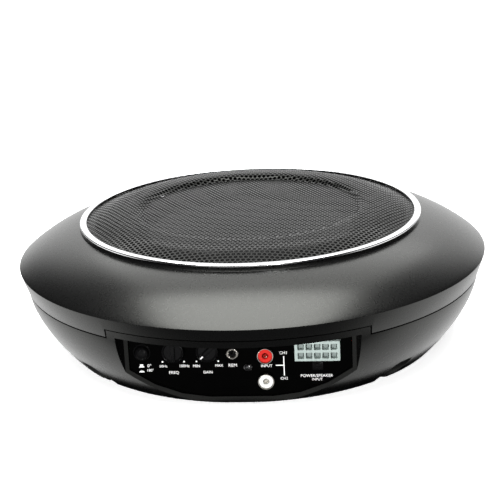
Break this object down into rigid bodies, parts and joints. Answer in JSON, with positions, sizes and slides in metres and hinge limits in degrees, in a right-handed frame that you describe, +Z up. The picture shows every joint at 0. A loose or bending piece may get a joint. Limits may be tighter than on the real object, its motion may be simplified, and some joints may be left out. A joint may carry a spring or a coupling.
{
  "type": "powered car subwoofer",
  "caption": "Round flat under-seat powered subwoofer: two-part case, domed perforated grille in a bright ring, and a front control bay with knobs, button and sockets.",
  "frame": {"origin": "centre of the round footprint, on the surface that the rubber feet stand on", "axes": "+Z up through the grille; the control bay faces -Y; +X to the right seen from the front"},
  "size_m": [0.262, 0.262, 0.0778],
  "materials": {
    "case": "moulded black with a fine spark-eroded texture",
    "grille": "satin black powder coat on perforated steel",
    "trim": "bright plated",
    "panel": null,
    "control": "black, semi-gloss",
    "black_steel": "black e-coat",
    "cone": "dull pulp texture",
    "rubber": "dull",
    "zinc": "bright zinc",
    "ferrite": "dull ferrite",
    "aluminium": "mill finish",
    "copper": "lacquered winding wire",
    "spider": "resin-treated cloth",
    "board": "green solder mask",
    "capacitor": "shrink sleeve",
    "white": "natural nylon",
    "red": "red",
    "lead": "vinyl sleeve",
    "nickel": "nickel plate",
    "screw": "black oxide"
  },
  "bodies": {
    "root": {"top_housing": "case", "bottom_housing": "case", "base_plate": "black_steel", "trim_ring": "trim", "grille": "grille", "basket": "black_steel", "woofer_gasket": "rubber", "surround": "rubber", "spider": "spider", "top_plate": "zinc", "magnet": "ferrite", "back_plate": "zinc", "terminal_strip": "board", "amp_board": "board", "control_board": "board", "capacitor_1": "capacitor", "capacitor_2": "capacitor", "inductor": "copper", "power_transistor_1": "panel", "power_transistor_2": "panel", "heatsink": "aluminium", "speaker_lead": "lead", "control_plate": "panel", "freq_pot": "zinc", "gain_pot": "zinc", "phase_switch": "panel", "remote_jack": "nickel", "panel_screw": "screw", "rca_block": "panel", "rca_shell_red": "nickel", "rca_shell_white": "nickel", "rca_insulator_red": "red", "rca_insulator_white": "white", "power_header": "white", "case_screw_1": "screw", "base_screw_1": "screw", "woofer_screw_1": "screw", "rubber_foot_1": "rubber", "board_standoff_1": "zinc", "case_screw_2": "screw", "base_screw_2": "screw", "woofer_screw_2": "screw", "rubber_foot_2": "rubber", "board_standoff_2": "zinc", "case_screw_3": "screw", "base_screw_3": "screw", "woofer_screw_3": "screw", "rubber_foot_3": "rubber", "board_standoff_3": "zinc", "case_screw_4": "screw", "base_screw_4": "screw", "woofer_screw_4": "screw", "rubber_foot_4": "rubber", "board_standoff_4": "zinc"},
    "cone_assembly": {"cone": "cone", "dust_cap": "cone", "voice_coil": "copper"},
    "freq_knob": {"freq_knob": "control"},
    "gain_knob": {"gain_knob": "control"},
    "phase_button": {"phase_button": "control"}
  },
  "joints": [
    {"name": "cone_stroke", "type": "slide", "parent": "root", "child": "cone_assembly", "axis": [0, 0, 1], "range_m": [-0.004, 0.004], "stiffness_N_per_m": 2500, "deforming": ["surround", "spider"]},
    {"name": "freq_turn", "type": "hinge", "parent": "root", "child": "freq_knob", "pos_m": [-0.0342, -0.1, 0.0302], "axis": [0, 1, 0], "range_deg": [-135, 135]},
    {"name": "gain_turn", "type": "hinge", "parent": "root", "child": "gain_knob", "pos_m": [-0.0167, -0.1, 0.0302], "axis": [0, 1, 0], "range_deg": [0, 270]},
    {"name": "phase_press", "type": "slide", "parent": "root", "child": "phase_button", "axis": [0, 1, 0], "range_m": [0, 0.002], "stiffness_N_per_m": 300}
  ]
}
